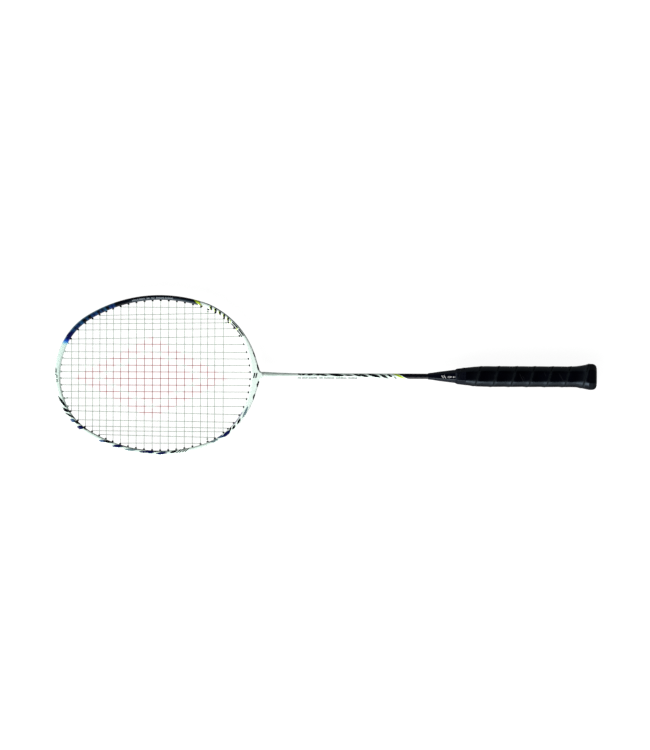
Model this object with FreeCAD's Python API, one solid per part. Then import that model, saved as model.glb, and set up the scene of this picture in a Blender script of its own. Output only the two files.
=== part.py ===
"""Badminton racket: a strung carbon head on a slim shaft, with a wooden octagonal handle under a grip wrap.

Frame, in millimetres: the origin is the middle of the butt cap's flat end face. +X runs along the shaft to the
head's tip, +Z is square to the string bed, and the racket lies flat. The head is an oval of tangent arcs.
Sixty-eight grommets line the holes that carry the strings, and at nine of them on each side a main and a cross
share one hole.
"""
import FreeCAD
import Part
import math
import os

Vector = FreeCAD.Vector

# ---------------------------------------------------------------- overall
LENGTH = 675.0                 # butt face to tip
HOOP_DEPTH = 10.4              # along Z
HOOP_ROUND = 2.3               # rounding of the hoop's four long edges

# Each half outline is a chain of tangent arcs that starts at the tip. A break is the angle, from +X, of the
# outward normal where one arc hands over to the next.
OUTER_TIP_X = LENGTH
OUTER_BREAKS = [0.0, 24.0, 58.5, 110.0, 116.0, 163.0]
OUTER_RADII = [92.5, 82.6, 173.2, 51.0, 106.5]      # the last arc's radius follows from closing on the axis
INNER_TIP_X = LENGTH - 6.4
INNER_BREAKS = [0.0, 24.0, 58.5, 109.0, 160.0]
INNER_RADII = [88.9, 73.8, 169.3, 84.0]             # and so does this outline's

# ---------------------------------------------------------------- throat
SHOULDER_ANGLE = math.radians(OUTER_BREAKS[-1])    # the hoop turns into a straight shoulder here
STUB_RADIUS = 4.7                      # round stub that meets the shaft
STUB_END_X = 412.0
STUB_FILLET = 3.0
FLARE_RADIUS = 5.0
FLARE_START = 2.5                      # past the stub's end, where its round section begins to widen
ENVELOPE_REACH = 400.0                 # wider than the head
RIM_OVERRUN = 1.0                      # how far a cutting tool stands out of the rim

# ---------------------------------------------------------------- hoop inside
GROOVE_DEPTH = 1.5
GROOVE_HALF_WIDTH = 1.95
GROOVE_END_Y = 4.9                     # the groove stops beside the stub
CAVITY_FROM_OUTSIDE = 2.2
CAVITY_FROM_INSIDE = 1.0
CAVITY_SKIN = 1.1                      # laminate above and below the cavity
CAVITY_ROUND = 0.8

# ---------------------------------------------------------------- grommets
BARREL_RADIUS = 1.25
BORE_RADIUS = 0.86
TIE_OFF_EXTRA = 0.15                   # a tie-off grommet is wider, because a tail and its knot share it
BARREL_PROUD = 1.6                     # how far a barrel stands out of the hoop's inner face
FLANGE_RADIUS = 1.75
FLANGE_THICK = 0.45
FLANGE_LIFT = 0.03
DRILL_OVERRUN = 0.4

# ---------------------------------------------------------------- strings
STRING_RADIUS = 0.34
WEAVE = 0.40                           # half the distance between the centrelines of two crossing strings
MOUTH_GAP = 0.15                       # bend of a string past the barrel's mouth
GROOVE_CLEARANCE = 0.15                # string above the grommet flange
MOUTH_BEND = 1.2
GROOVE_BEND = 0.75
WEAVE_BEND = 6.0
BEND_SHARE = 0.45                      # the most of a straight run that one bend may take
WEAVE_MARGIN = 1.0                     # no crossing is nearer than this to a string's mouth
GROOVE_SWEEP = 20.0
KNOT_START = 1.4
KNOT_LENGTH = 1.7
KNOT_BORE = 0.39
KNOT_RADIUS = 1.08
KNOT_ROUND = 0.3

# Mains are counted out from the axis, from 0, on each side. The first five run parallel to the axis. The outer
# six share a cross string's hole at the tip, and the last three share one at the throat too.
PARALLEL_MAINS = [4.1, 12.35, 20.6, 28.85, 38.6]
TIP_SHARED_CROSSES = [1, 2, 3, 4, 5, 8]
THROAT_MAINS = PARALLEL_MAINS + [48.8, 58.3, 65.6]
THROAT_SHARED_CROSSES = [21, 20, 18]
FIRST_CROSS_X = 654.4
CROSS_GAPS = [8.8] * 4 + [8.4, 8.4, 9.2, 9.8, 9.8] + [10.0] * 7 + [10.1, 8.6, 8.9, 10.7]
MAINS_PER_SIDE = 11
CROSS_COUNT = len(CROSS_GAPS) + 1
MAIN_TAIL_CROSS = 19                           # the mains tie off round this cross, on both sides
CROSS_TAIL_TIP_MAIN = 3                        # the crosses start at this main, on the +Y side
CROSS_TAIL_THROAT_MAIN = 7                     # and end at this one, on the -Y side

# ---------------------------------------------------------------- shaft and T joint
SHAFT_RADIUS = 3.3
SHAFT_BORE = 2.2
SHAFT_START_X = 80.0
SHAFT_FLARE = [(345.0, 3.3), (380.0, 3.5), (398.0, 4.0), (412.0, 4.7)]
SPIGOT_FROM_X = 378.0
SPIGOT_TO_X = 426.0
CROSSBAR_END_X = 441.0

# ---------------------------------------------------------------- handle, as (x, half width Y, half width Z)
CORE_HALF = (11.1, 9.8)
CORE_START_X = 5.0
CORE_TOP_X = 166.0
CORE_SHOULDER_X = 141.0
CONE_SKIN = 1.5
CONE_HOLLOW_TO_X = 200.0
CONE_TIP_X = 210.0
CONE = [(140.0, 11.1, 9.8), (152.0, 10.5, 9.6), (165.0, 9.4, 9.0), (176.0, 8.35, 8.25),
        (196.0, 5.9, 5.9), (205.0, 4.5, 4.5), (210.0, 4.0, 4.0)]
CAP = [(0.0, 10.5, 9.3), (0.7, 13.2, 11.9), (2.4, 15.2, 13.9), (5.0, 16.2, 14.9), (9.0, 16.3, 15.0)]
CAP_SKIRT = [(9.0, 14.6, 13.3), (17.0, 12.8, 11.5), (25.0, 11.9, 10.6)]
POCKET_TO_X = 40.0                     # the tool for the cap's socket reaches past its skirt
WRAP_TOP_X = 174.0
WRAP = [(9.0, 16.2, 14.9), (13.0, 15.3, 14.0), (18.0, 14.2, 12.9), (25.0, 13.1, 11.8), (32.0, 12.8, 11.5),
        (138.0, 12.8, 11.5), (150.0, 12.3, 11.2), (160.0, 11.2, 10.6), (174.0, 9.45, 9.4)]
TAPE_FROM_X = 163.0
TAPE_TO_X = 176.0
TAPE_THICK = 0.22
TAPE_END_HALF = (8.6, 8.5)             # half widths where the tape runs out on the cone
OCTAGON_CUT = 0.52                     # bevel, as a share of the smaller half width
OCTAGON_ROUND = 0.16                   # corner rounding, as a share of the smaller half width

# ---------------------------------------------------------------- staples
STAPLE_WIRE = 0.55
STAPLE_CROWN = 6.0
STAPLE_LEG = 4.2
STAPLE_BEND = 0.6
GRIP_STAPLE_X = 28.5
GRIP_STAPLE_LIFT = 0.05                # crown above the wooden core
CAP_STAPLE_X = 20.0
CAP_STAPLE_LIFT = 0.75

PARTS = "parts"


# ================================================================ the oval
def unchanged(p):
    return p


def mirrored(p):
    return Vector(p.x, -p.y, p.z)


class Outline:
    """Half of an oval, on the +Y side of the axis. The angle of its outward normal names a point on it."""

    def __init__(self, tip_x, breaks, radii):
        self.breaks = [math.radians(a) for a in breaks] + [math.pi]
        self.arcs = []
        centre = Vector(tip_x - radii[0], 0, 0)
        for k, start in enumerate(self.breaks[:-1]):
            normal = Vector(math.cos(start), math.sin(start), 0)
            if k < len(radii):
                radius = radii[k]
            else:
                radius = (centre + normal * radii[-1]).y / normal.y
            if k:
                centre = centre + normal * (self.arcs[-1][1] - radius)
            self.arcs.append((centre, radius))

    def point(self, angle, offset=0.0):
        """The point at angle, moved outwards by offset."""
        k = 0
        while k < len(self.arcs) - 1 and angle > self.breaks[k + 1]:
            k += 1
        centre, radius = self.arcs[k]
        return centre + Vector(math.cos(angle), math.sin(angle), 0) * (radius + offset)

    def edges(self, offset=0.0, stop=math.pi, flip=unchanged):
        """Arc edges from the tip to the angle stop."""
        made = []
        for start, end in zip(self.breaks, self.breaks[1:]):
            if start < stop:
                end = min(end, stop)
                points = [self.point(a, offset) for a in (start + 1e-12, (start + end) / 2, end)]
                made.append(Part.Arc(*[flip(p) for p in points]).toShape())
        return made


OUTER = Outline(OUTER_TIP_X, OUTER_BREAKS, OUTER_RADII)
INNER = Outline(INNER_TIP_X, INNER_BREAKS, INNER_RADII)


def closed_face(edges):
    return Part.Face(Part.Wire(Part.__sortEdges__(edges)))


def inner_face(offset=0.0):
    return closed_face(INNER.edges(offset) + INNER.edges(offset, flip=mirrored))


# The straight shoulder leaves the outer oval at SHOULDER_ANGLE, in the direction of its tangent.
SHOULDER_START = OUTER.point(SHOULDER_ANGLE)
SHOULDER_NORMAL = Vector(math.cos(SHOULDER_ANGLE), math.sin(SHOULDER_ANGLE), 0)
SHOULDER_ALONG = Vector(-math.sin(SHOULDER_ANGLE), math.cos(SHOULDER_ANGLE), 0)


def shoulder_point(y, offset=0.0):
    """The point of the shoulder's line, moved outwards by offset, at height y."""
    start = SHOULDER_START + SHOULDER_NORMAL * offset
    return start + SHOULDER_ALONG * ((y - start.y) / SHOULDER_ALONG.y)


# ================================================================ the hoop
def outline_face():
    """The hoop's outer outline, with the shoulders and the stub for the shaft."""
    corner = shoulder_point(STUB_RADIUS)
    turn = math.acos(-SHOULDER_ALONG.x)
    reach = STUB_FILLET * math.tan(turn / 2)
    on_shoulder = corner - SHOULDER_ALONG * reach
    on_stub = corner - Vector(reach, 0, 0)
    centre = on_stub + Vector(0, STUB_FILLET, 0)
    middle = centre + (corner - centre).normalize() * STUB_FILLET
    stub_end = Vector(STUB_END_X, STUB_RADIUS, 0)
    edges = []
    for flip in (unchanged, mirrored):
        edges += OUTER.edges(stop=SHOULDER_ANGLE, flip=flip)
        edges.append(Part.LineSegment(flip(SHOULDER_START), flip(on_shoulder)).toShape())
        edges.append(Part.Arc(flip(on_shoulder), flip(middle), flip(on_stub)).toShape())
        edges.append(Part.LineSegment(flip(on_stub), flip(stub_end)).toShape())
    edges.append(Part.LineSegment(stub_end, mirrored(stub_end)).toShape())
    return closed_face(edges)


def slab(face, half_depth):
    """The face, which lies at Z 0, given its depth both ways."""
    moved = face.copy()
    moved.translate(Vector(0, 0, -half_depth))
    return moved.extrude(Vector(0, 0, 2 * half_depth))


def flat_edges(shape, half_depth, keep=lambda edge: True):
    """Edges of a slab's top and bottom faces."""
    return [e for e in shape.Edges
            if abs(abs(e.BoundBox.ZMin) - half_depth) < 1e-4 and e.BoundBox.ZLength < 1e-4 and keep(e)]


def stub_envelope():
    """Round profile that turns the flat stub into a round one, flaring to nothing at the shoulders."""
    flare_x = STUB_END_X + FLARE_START
    centre = Vector(flare_x, STUB_RADIUS + FLARE_RADIUS, 0)
    middle = centre + Vector(1, -1, 0).normalize() * FLARE_RADIUS
    top = centre + Vector(FLARE_RADIUS, 0, 0)
    stub = Part.makePolygon([Vector(STUB_END_X, 0, 0), Vector(STUB_END_X, STUB_RADIUS, 0),
                             Vector(flare_x, STUB_RADIUS, 0)])
    flare = Part.Arc(Vector(flare_x, STUB_RADIUS, 0), middle, top).toShape()
    past_tip = LENGTH + RIM_OVERRUN
    rest = Part.makePolygon([top, Vector(top.x, ENVELOPE_REACH, 0), Vector(past_tip, ENVELOPE_REACH, 0),
                             Vector(past_tip, 0, 0), Vector(STUB_END_X, 0, 0)])
    edges = stub.Edges + [flare] + rest.Edges
    return Part.Face(Part.Wire(edges)).revolve(Vector(0, 0, 0), Vector(1, 0, 0), 360)


def hoop_body():
    face = outline_face().cut(inner_face())
    body = slab(face, HOOP_DEPTH / 2)
    edges = flat_edges(body, HOOP_DEPTH / 2, lambda e: e.BoundBox.XMax > STUB_END_X + 0.01)
    return body.makeFillet(HOOP_ROUND, edges).common(stub_envelope())


def groove_tool():
    """Band that cuts the string groove into the hoop's rim, from one shoulder round the tip to the other."""
    edges = []
    for flip in (unchanged, mirrored):
        for offset in (RIM_OVERRUN, -GROOVE_DEPTH):
            edges += OUTER.edges(offset, SHOULDER_ANGLE, flip)
            edges.append(Part.LineSegment(flip(OUTER.point(SHOULDER_ANGLE, offset)),
                                          flip(shoulder_point(GROOVE_END_Y, offset))).toShape())
        edges.append(Part.LineSegment(flip(shoulder_point(GROOVE_END_Y, RIM_OVERRUN)),
                                      flip(shoulder_point(GROOVE_END_Y, -GROOVE_DEPTH))).toShape())
    return slab(closed_face(edges), GROOVE_HALF_WIDTH)


def cavity():
    outside = closed_face(OUTER.edges(-CAVITY_FROM_OUTSIDE) + OUTER.edges(-CAVITY_FROM_OUTSIDE, flip=mirrored))
    ring = outside.cut(inner_face(CAVITY_FROM_INSIDE))
    half_depth = HOOP_DEPTH / 2 - CAVITY_SKIN
    body = slab(ring, half_depth)
    return body.makeFillet(CAVITY_ROUND, flat_edges(body, half_depth))


# ================================================================ string holes
def mouth_point(angle):
    """Where a string bends as it leaves a grommet on the +Y side."""
    return INNER.point(angle, -(BARREL_PROUD + MOUTH_GAP))


class Hole:
    """One grommet hole: where the string bends at its inner mouth, its axis, and the rim above it."""

    def __init__(self, angle, side, kind):
        self.angle, self.side, self.kind = angle, side, kind
        self.mouth = mouth_point(angle)
        foot = self.foot_on_rim()
        if side < 0:
            self.mouth, foot = mirrored(self.mouth), mirrored(foot)
        self.axis = (foot - self.mouth).normalize()
        self.depth = (foot - self.mouth).Length
        seat = GROOVE_DEPTH - FLANGE_LIFT - FLANGE_THICK
        self.turn = self.mouth + self.axis * (self.depth - seat + STRING_RADIUS + GROOVE_CLEARANCE)

    def foot_on_rim(self):
        """The nearest point of the outer outline to the mouth, on the side of +Y."""
        along = (self.mouth - SHOULDER_START).dot(SHOULDER_ALONG)
        if along > 0:
            return SHOULDER_START + SHOULDER_ALONG * along
        low, high = 0.0, SHOULDER_ANGLE
        for _ in range(60):
            angle = (low + high) / 2
            p = OUTER.point(angle)
            tangent = Vector(-math.sin(angle), math.cos(angle), 0)
            if (self.mouth - p).dot(tangent) > 0:
                low = angle
            else:
                high = angle
        return OUTER.point(low)


def find_angle(test, low, high):
    """Bisects for the angle at which test(mouth) changes from True at low to False."""
    for _ in range(60):
        angle = (low + high) / 2
        if test(mouth_point(angle)):
            low = angle
        else:
            high = angle
    return low


def lay_out_holes():
    """Places of the cross strings along X, and every hole by name."""
    cross_x = {1: FIRST_CROSS_X}
    for k, gap in enumerate(CROSS_GAPS):
        cross_x[k + 2] = cross_x[k + 1] - gap

    def at_cross(number):
        return find_angle(lambda p: p.x > cross_x[number], 0.0, math.pi)

    tip = [find_angle(lambda p, y=y: p.y < y, 0.0, math.pi / 2) for y in PARALLEL_MAINS]
    throat = [find_angle(lambda p, y=y: p.y > y, math.pi / 2, math.pi) for y in THROAT_MAINS]
    tip += [at_cross(n) for n in TIP_SHARED_CROSSES]
    throat += [at_cross(n) for n in THROAT_SHARED_CROSSES]
    holes = {}
    for side in (1, -1):
        ends = (("tip", tip, TIP_SHARED_CROSSES), ("throat", throat, THROAT_SHARED_CROSSES))
        for end, angles, shared in ends:
            alone = len(angles) - len(shared)
            for k, angle in enumerate(angles):
                hole = Hole(angle, side, end + ("_main" if k < alone else "_corner"))
                holes[(end, k, side)] = hole
                if k >= alone:
                    holes[("cross", shared[k - alone], side)] = hole
        for n in cross_x:
            if ("cross", n, side) not in holes:
                holes[("cross", n, side)] = Hole(at_cross(n), side, "cross")
    for name in (("cross", MAIN_TAIL_CROSS, 1), ("cross", MAIN_TAIL_CROSS, -1), ("tip", CROSS_TAIL_TIP_MAIN, 1),
                 ("throat", CROSS_TAIL_THROAT_MAIN, -1)):
        holes[name].kind = "tie_off"
    return cross_x, holes


CROSS_X, HOLES = lay_out_holes()
ALL_HOLES = list({id(h): h for h in HOLES.values()}.values())


def main_y_at(k, side, x):
    """Where main k passes over x, on the straight line between its two holes."""
    tip, throat = HOLES[("tip", k, side)].mouth, HOLES[("throat", k, side)].mouth
    return throat.y + (tip.y - throat.y) * (x - throat.x) / (tip.x - throat.x)


def extra_width(hole):
    return TIE_OFF_EXTRA if hole.kind == "tie_off" else 0.0


def drill(hole):
    """The hole through the hoop for one grommet, from inside the oval to the floor of the groove."""
    start = hole.mouth + hole.axis * (MOUTH_GAP - DRILL_OVERRUN)
    length = hole.depth - MOUTH_GAP - GROOVE_DEPTH + 2 * DRILL_OVERRUN
    return Part.makeCylinder(BARREL_RADIUS + extra_width(hole), length, start, hole.axis)


def grommet(hole):
    """A flanged tube, turned about the hole's axis from the profile of its wall."""
    across = Vector(0, 0, 1)
    start = hole.mouth + hole.axis * MOUTH_GAP
    floor = hole.depth - MOUTH_GAP - GROOVE_DEPTH + FLANGE_LIFT
    bore, barrel = BORE_RADIUS + extra_width(hole), BARREL_RADIUS + extra_width(hole)
    profile = [(bore, 0), (barrel, 0), (barrel, floor), (FLANGE_RADIUS, floor),
               (FLANGE_RADIUS, floor + FLANGE_THICK), (bore, floor + FLANGE_THICK)]
    points = [start + hole.axis * z + across * r for r, z in profile]
    wall = Part.Face(Part.makePolygon(points + points[:1]))
    return wall.revolve(start, hole.axis, 360)


# ================================================================ strings
def rounded_wire(points, radii):
    """Straight runs joined by tangent arcs. Where runs are too short for an arc, it gets smaller."""
    edges = []
    here = points[0]
    for k in range(1, len(points) - 1):
        before, corner, after = points[k - 1], points[k], points[k + 1]
        back, ahead = (before - corner), (after - corner)
        room = BEND_SHARE * min(back.Length, ahead.Length)
        back.normalize()
        ahead.normalize()
        turn = math.pi - back.getAngle(ahead)
        if turn < 1e-4:
            continue
        reach = min(radii[k] * math.tan(turn / 2), room)
        radius = reach / math.tan(turn / 2)
        start, end = corner + back * reach, corner + ahead * reach
        inward = (back + ahead).normalize()
        middle = corner + inward * (radius / math.cos(turn / 2) - radius)
        edges.append(Part.LineSegment(here, start).toShape())
        edges.append(Part.Arc(start, middle, end).toShape())
        here = end
    edges.append(Part.LineSegment(here, points[-1]).toShape())
    return Part.Wire(edges)


def main_over(cross_number, main, side):
    """Whether the main passes over the cross. Neighbours alternate, both ways."""
    number = MAINS_PER_SIDE - main if side > 0 else MAINS_PER_SIDE + 1 + main
    return (cross_number + number) % 2 == 1


class Route:
    """A string's corners, each with the radius of its bend.

    In the groove and in shared holes one string runs above the other. Level +1 is for the mains, which run above
    on the +Y side and below on the -Y side. Level -1 is for the crosses.
    """

    def __init__(self, level):
        self.level = level
        self.points, self.radii = [], []

    def add(self, point, z, radius):
        self.points.append(Vector(point.x, point.y, z))
        self.radii.append(radius)

    def height(self, side):
        return self.level * side * WEAVE

    def enter(self, hole):
        """From the groove, through the grommet, to its mouth."""
        self.add(hole.turn, self.height(hole.side), GROOVE_BEND)
        self.add(hole.mouth, self.height(hole.side), MOUTH_BEND)

    def leave(self, hole):
        self.add(hole.mouth, self.height(hole.side), MOUTH_BEND)
        self.add(hole.turn, self.height(hole.side), GROOVE_BEND)

    def pass_holes_between(self, first, last):
        """Along the groove, over the holes between two holes of one side."""
        low, high = sorted((first.angle, last.angle))
        between = [h for h in ALL_HOLES if h.side == first.side and low + 1e-6 < h.angle < high - 1e-6]
        for hole in sorted(between, key=lambda h: h.angle, reverse=first.angle > last.angle):
            self.add(hole.turn, self.height(hole.side), GROOVE_SWEEP)

    def joined(self, other_first):
        self.points = list(reversed(other_first.points)) + self.points
        self.radii = list(reversed(other_first.radii)) + self.radii
        return self


def knot_points(hole, toward):
    """Where the knot that closes a tail begins and ends, past the mouth of the tie-off hole."""
    return hole.mouth + toward * KNOT_START, hole.mouth + toward * (KNOT_START + KNOT_LENGTH)


def weave_main(route, k, side, tip_first):
    low = HOLES[("throat", k, side)].mouth.x + WEAVE_MARGIN
    high = HOLES[("tip", k, side)].mouth.x - WEAVE_MARGIN
    numbers = [n for n in range(1, CROSS_COUNT + 1) if low < CROSS_X[n] < high]
    for n in (numbers if tip_first else reversed(numbers)):
        z = WEAVE if main_over(n, k, side) else -WEAVE
        route.add(Vector(CROSS_X[n], main_y_at(k, side, CROSS_X[n]), 0), z, WEAVE_BEND)


def half_of_mains(side):
    """One half of the main string, from the middle of the tip out to its knot."""
    route = Route(1)
    for k in range(MAINS_PER_SIDE):
        tip_first = k % 2 == 0
        first, last = [HOLES[(end, k, side)] for end in (("tip", "throat") if tip_first else ("throat", "tip"))]
        if k:
            route.pass_holes_between(HOLES[("tip" if tip_first else "throat", k - 1, side)], first)
        route.enter(first)
        weave_main(route, k, side, tip_first)
        route.leave(last)
    tie = HOLES[("cross", MAIN_TAIL_CROSS, side)]
    route.pass_holes_between(last, tie)
    route.enter(tie)
    start, end = knot_points(tie, Vector(0, -side, 0))
    route.add(end, route.height(side), 0)
    return route, (start, end, -route.height(side))


def cross_route():
    """The cross string, from its knot by the tip to its knot by the throat."""
    route = Route(-1)
    tie = HOLES[("tip", CROSS_TAIL_TIP_MAIN, 1)]
    start, end = knot_points(tie, Vector(-1, 0, 0))
    knots = [(start, end, -route.height(1))]
    route.add(end, route.height(1), 0)
    route.leave(tie)
    route.pass_holes_between(tie, HOLES[("cross", 1, 1)])
    side = 1
    for n in range(1, CROSS_COUNT + 1):
        first, last = HOLES[("cross", n, side)], HOLES[("cross", n, -side)]
        route.enter(first)
        reach = abs(first.mouth.y) - WEAVE_MARGIN
        x = CROSS_X[n]
        mains = [(main_y_at(k, s, x), k, s) for s in (1, -1) for k in range(MAINS_PER_SIDE)]
        mains = [m for m in mains if abs(m[0]) < reach]
        for y, k, s in sorted(mains, reverse=side > 0):
            route.add(Vector(x, y, 0), -WEAVE if main_over(n, k, s) else WEAVE, WEAVE_BEND)
        route.leave(last)
        side = -side
    tie = HOLES[("throat", CROSS_TAIL_THROAT_MAIN, -1)]
    route.pass_holes_between(last, tie)
    route.enter(tie)
    start, end = knot_points(tie, Vector(1, 0, 0))
    route.add(end, route.height(-1), 0)
    knots.append((start, end, -route.height(-1)))
    return route, knots


def knot(start, end, z):
    """A knot, as a short sleeve round the string that it holds."""
    base = Vector(start.x, start.y, z)
    along = (end - start).normalize()
    sleeve = Part.makeCylinder(KNOT_RADIUS, KNOT_LENGTH, base, along)
    sleeve = sleeve.makeFillet(KNOT_ROUND, [e for e in sleeve.Edges if e.Curve.TypeId == "Part::GeomCircle"])
    return sleeve.cut(Part.makeCylinder(KNOT_BORE, KNOT_LENGTH, base, along))


def string_solid(route, knots):
    wire = rounded_wire(route.points, route.radii)
    start, direction = route.points[0], route.points[1] - route.points[0]
    circle = Part.Wire(Part.Circle(start, direction, STRING_RADIUS).toShape())
    body = wire.makePipeShell([circle], True, False)
    print("string length %.0f mm" % wire.Length)
    return body.fuse([knot(*k) for k in knots])


# ================================================================ handle
def octagon(x, half_y, half_z):
    """A rounded octagon across the axis at x. Every one has sixteen edges, so that any two can be lofted."""
    small = min(half_y, half_z)
    cut, rounding = OCTAGON_CUT * small, OCTAGON_ROUND * small
    upper = [(half_y, half_z - cut), (half_y - cut, half_z), (cut - half_y, half_z), (-half_y, half_z - cut)]
    lower = [(-y, -z) for y, z in upper]
    corners = [Vector(x, y, z) for y, z in upper + lower]
    sides = len(corners)
    arcs, starts, ends = [], [], []
    for k, corner in enumerate(corners):
        back = (corners[k - 1] - corner).normalize()
        ahead = (corners[(k + 1) % sides] - corner).normalize()
        turn = math.pi - back.getAngle(ahead)
        reach = rounding * math.tan(turn / 2)
        middle = corner + (back + ahead).normalize() * (rounding / math.cos(turn / 2) - rounding)
        starts.append(corner + back * reach)
        ends.append(corner + ahead * reach)
        arcs.append(Part.Arc(starts[-1], middle, ends[-1]).toShape())
    edges = []
    for k in range(sides):
        edges += [arcs[k], Part.LineSegment(ends[k], starts[(k + 1) % sides]).toShape()]
    return Part.Wire(edges)


def lofted(stations, grow=0.0):
    """A solid through the octagons at the stations, each grown by grow on every side."""
    wires = [octagon(x, y + grow, z + grow) for x, y, z in stations]
    return Part.makeLoft(wires, True, True)


def between(stations, low, high):
    """The stations from low to high, with both ends worked out on the straight lines between stations."""
    def at(x):
        for (x0, y0, z0), (x1, y1, z1) in zip(stations, stations[1:]):
            if x0 <= x <= x1:
                t = (x - x0) / (x1 - x0)
                return (x, y0 + t * (y1 - y0), z0 + t * (z1 - z0))
        raise ValueError(x)
    inside = [s for s in stations if low < s[0] < high]
    return [at(low)] + inside + [at(high)]


def tube(stations, bore):
    """A turned tube from (x, radius) stations, with a plain bore."""
    points = [Vector(x, r, 0) for x, r in stations]
    points += [Vector(stations[-1][0], bore, 0), Vector(stations[0][0], bore, 0)]
    return Part.Face(Part.makePolygon(points + points[:1])).revolve(Vector(0, 0, 0), Vector(1, 0, 0), 360)


def staple(crown, width_axis, depth_axis):
    """A wire staple: its crown lies across width_axis, and its legs go in along depth_axis."""
    half = width_axis * (STAPLE_CROWN / 2)
    leg = depth_axis * STAPLE_LEG
    corners = [crown - half + leg, crown - half, crown + half, crown + half + leg]
    wire = rounded_wire(corners, [0, STAPLE_BEND, STAPLE_BEND, 0])
    circle = Part.Wire(Part.Circle(wire.Vertexes[0].Point, depth_axis, STAPLE_WIRE / 2).toShape())
    return wire.makePipeShell([circle], True, False)


def handle_core_blank():
    """The octagonal part of the core."""
    half_y, half_z = CORE_HALF
    return lofted([(CORE_START_X, half_y, half_z), (CORE_SHOULDER_X, half_y, half_z)])


def cone_inside(low, high):
    """The inside of the cone's skin from low to high."""
    return lofted(between([(x, y - CONE_SKIN, z - CONE_SKIN) for x, y, z in CONE], low, high))


def cone_outside():
    return lofted(CONE)


def shaft_space():
    length = CONE_TIP_X - SHAFT_START_X + DRILL_OVERRUN
    return Part.makeCylinder(SHAFT_RADIUS, length, Vector(SHAFT_START_X, 0, 0), Vector(1, 0, 0))


def shaft():
    return tube([(SHAFT_START_X, SHAFT_RADIUS)] + SHAFT_FLARE, SHAFT_BORE)


def staples():
    """The two staples that hold the cap to the core, and the one that holds the grip's first turn."""
    half_y, half_z = CORE_HALF
    in_cap = [staple(Vector(CAP_STAPLE_X, side * (half_y + CAP_STAPLE_LIFT), 0), Vector(1, 0, 0),
                     Vector(0, -side, 0)) for side in (1, -1)]
    in_grip = staple(Vector(GRIP_STAPLE_X, 0, half_z + GRIP_STAPLE_LIFT), Vector(0, 1, 0), Vector(0, 0, -1))
    return in_cap, in_grip


def core(metal):
    whole = handle_core_blank().fuse(cone_inside(CORE_SHOULDER_X, CORE_TOP_X))
    return whole.cut([shaft_space()] + metal)


def cone():
    """The moulded cone: a skin over the core's tapered end that closes on the shaft."""
    solid_core = handle_core_blank().fuse(cone_inside(CORE_SHOULDER_X, CORE_TOP_X))
    hollow = cone_inside(CORE_TOP_X - DRILL_OVERRUN, CONE_HOLLOW_TO_X)
    skin = cone_outside().cut([solid_core, shaft_space(), hollow])
    reach = 2 * CORE_HALF[0]
    past_core = Part.makeBox(CONE_TIP_X, 2 * reach, 2 * reach, Vector(CORE_SHOULDER_X, -reach, -reach))
    return skin.common(past_core)


def cap(metal):
    """The butt cap: a flared end with a skirt, socketed on to the core."""
    whole = lofted(CAP).fuse(lofted(CAP_SKIRT)).removeSplitter()
    half_y, half_z = CORE_HALF
    pocket = lofted([(CORE_START_X, half_y, half_z), (POCKET_TO_X, half_y, half_z)])
    return whole.cut([pocket] + metal)


def wrap(covered):
    return lofted(WRAP).cut(covered)


def tape(covered):
    """The finishing tape round the grip's top end, drawn down on to the cone."""
    over_wrap = lofted(between(WRAP, TAPE_FROM_X, WRAP_TOP_X), TAPE_THICK)
    _, top_half_y, top_half_z = WRAP[-1]
    lip = lofted([(WRAP_TOP_X, top_half_y + TAPE_THICK, top_half_z + TAPE_THICK), (TAPE_TO_X,) + TAPE_END_HALF])
    return over_wrap.fuse(lip).cut(covered)


def handle_parts():
    """The handle, from the inside out: each sleeve is cut to what it covers."""
    in_cap, in_grip = staples()
    metal = in_cap + [in_grip]
    made_cap = cap(metal)
    made_wrap = wrap([made_cap, handle_core_blank(), cone_outside()] + metal)
    return {"shaft_tube": shaft(), "handle_core": core(metal), "grip_cone": cone(), "butt_cap": made_cap,
            "grip_wrap": made_wrap, "finish_tape": tape([made_wrap, cone_outside(), shaft_space()]),
            "butt_cap_staples": Part.makeCompound(in_cap), "grip_staple": in_grip}


# ================================================================ everything
def hoop(hollow, spigot, drills):
    return hoop_body().cut(groove_tool()).cut(hollow).cut(spigot).cut(drills)


def joint_insert(hollow, spigot, drills):
    """The T joint: a crossbar that fills the hoop's cavity at the throat, and a spigot into the shaft."""
    throat = Part.makeBox(CROSSBAR_END_X, 2 * LENGTH, 2 * HOOP_DEPTH, Vector(0, -LENGTH, -HOOP_DEPTH))
    return hollow.common(throat).fuse(spigot).cut(drills)


def head_parts():
    hollow = cavity()
    spigot = Part.makeCylinder(SHAFT_BORE, SPIGOT_TO_X - SPIGOT_FROM_X, Vector(SPIGOT_FROM_X, 0, 0),
                               Vector(1, 0, 0))
    drills = Part.makeCompound([drill(h) for h in ALL_HOLES])
    return {"frame_hoop": hoop(hollow, spigot, drills), "t_joint_insert": joint_insert(hollow, spigot, drills)}


def grommet_parts():
    groups = {}
    for hole in ALL_HOLES:
        hand = "left" if hole.side > 0 else "right"
        name = "tie_off" if hole.kind == "tie_off" else hole.kind + "_" + hand
        if hole.kind == "tip_main":
            name = "tip_mains"
        groups.setdefault("grommets_" + name, []).append(grommet(hole))
    return {name: Part.makeCompound(solids) for name, solids in groups.items()}


def string_parts():
    left, left_knot = half_of_mains(1)
    right, right_knot = half_of_mains(-1)
    crosses, knots = cross_route()
    return {"main_string": string_solid(right.joined(left), [left_knot, right_knot]),
            "cross_string": string_solid(crosses, knots)}


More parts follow.
